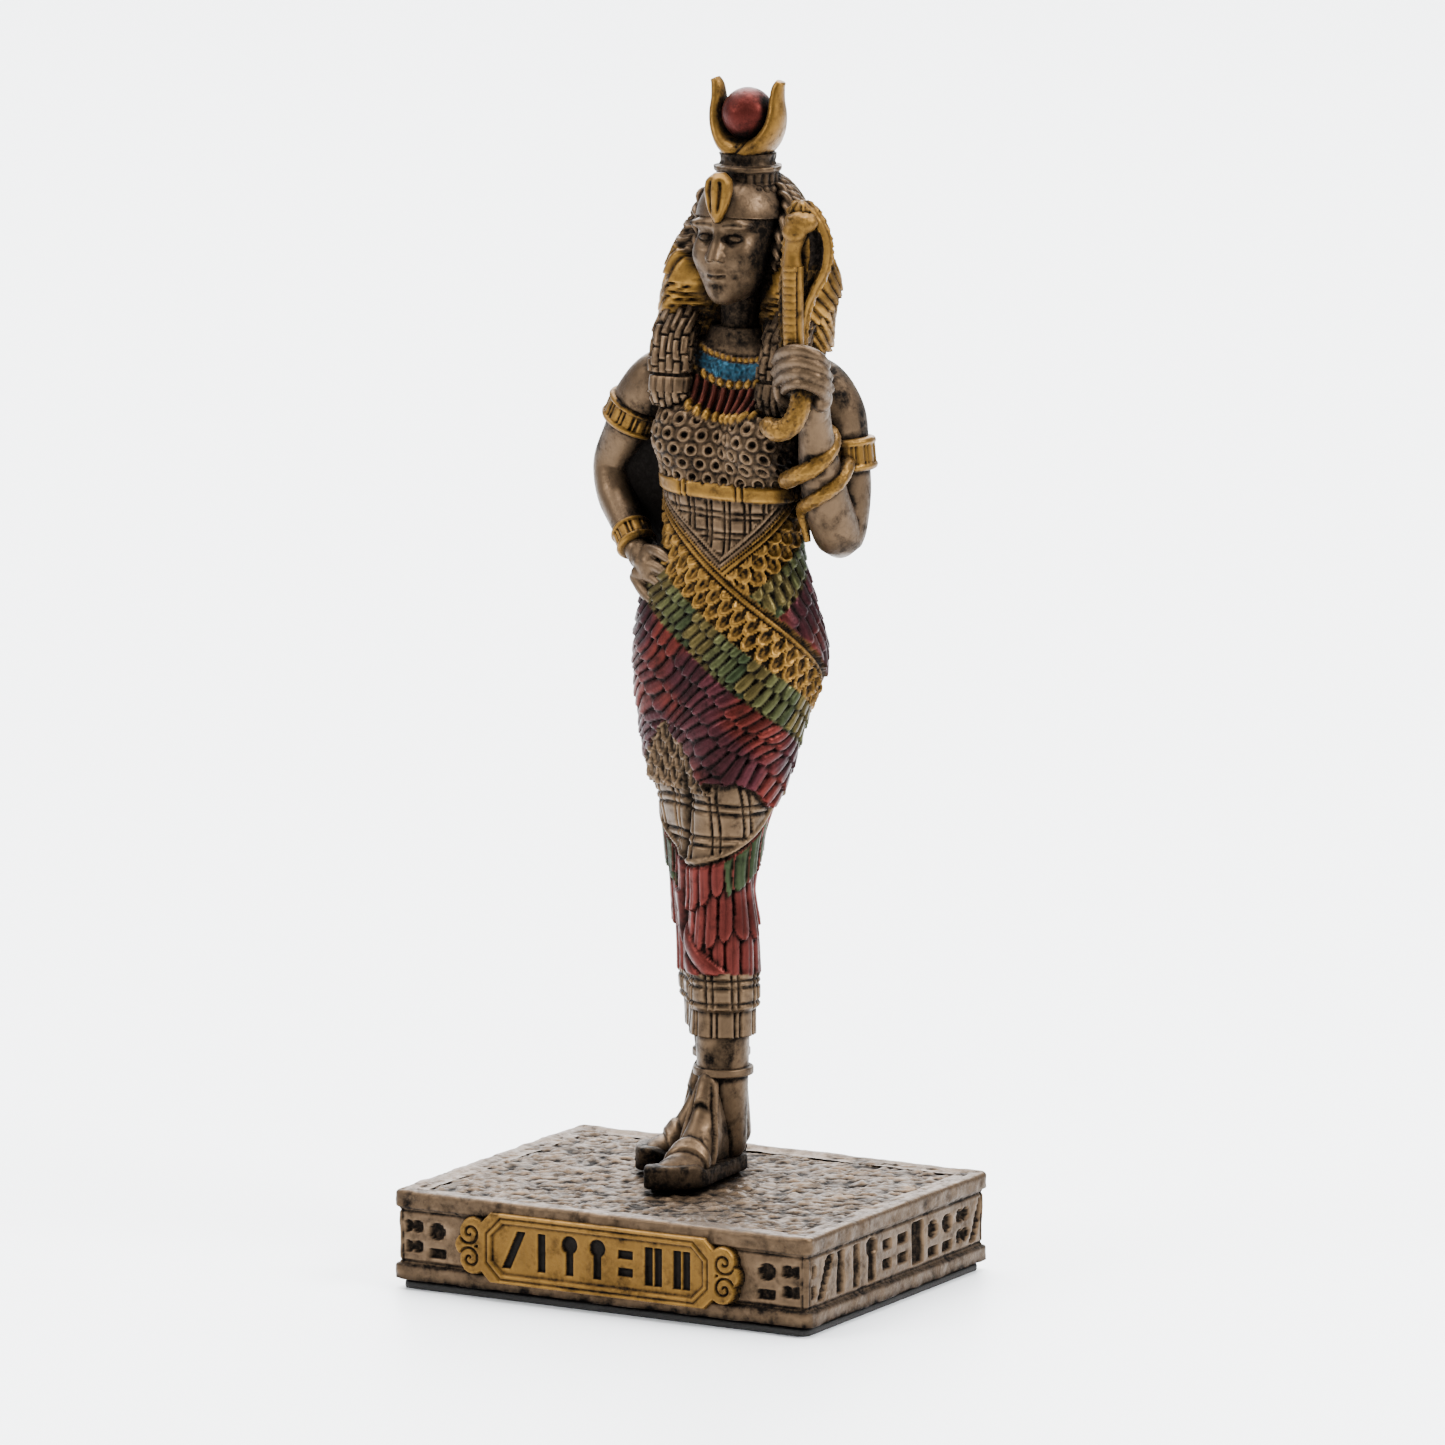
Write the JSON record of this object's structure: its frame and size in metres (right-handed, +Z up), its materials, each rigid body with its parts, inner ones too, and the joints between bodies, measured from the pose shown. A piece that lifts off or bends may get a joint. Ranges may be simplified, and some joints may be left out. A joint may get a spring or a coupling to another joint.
{
  "type": "goddess statuette",
  "caption": "Small painted cast figure of a cow-horned goddess with a cobra, hand on hip, on an oblong moulded plinth.",
  "frame": {"origin": "middle of the felt pad's underside, which is what the statuette stands on", "axes": "+Z up, the figure faces -Y, and its own left is +X"},
  "size_m": [0.035, 0.0279, 0.0883],
  "materials": {
    "painted_bronze_resin": "cold-cast bronze resin, black-washed in the recesses, with gold, red, green and blue paint rubbed on the raised carving",
    "plinth_bronze_resin": "cold-cast bronze resin with a dark wash and a gold name plate",
    "black_felt": "thin black felt"
  },
  "bodies": {
    "root": {"figure": "painted_bronze_resin", "plinth": "plinth_bronze_resin", "felt_pad": "black_felt"}
  },
  "joints": []
}
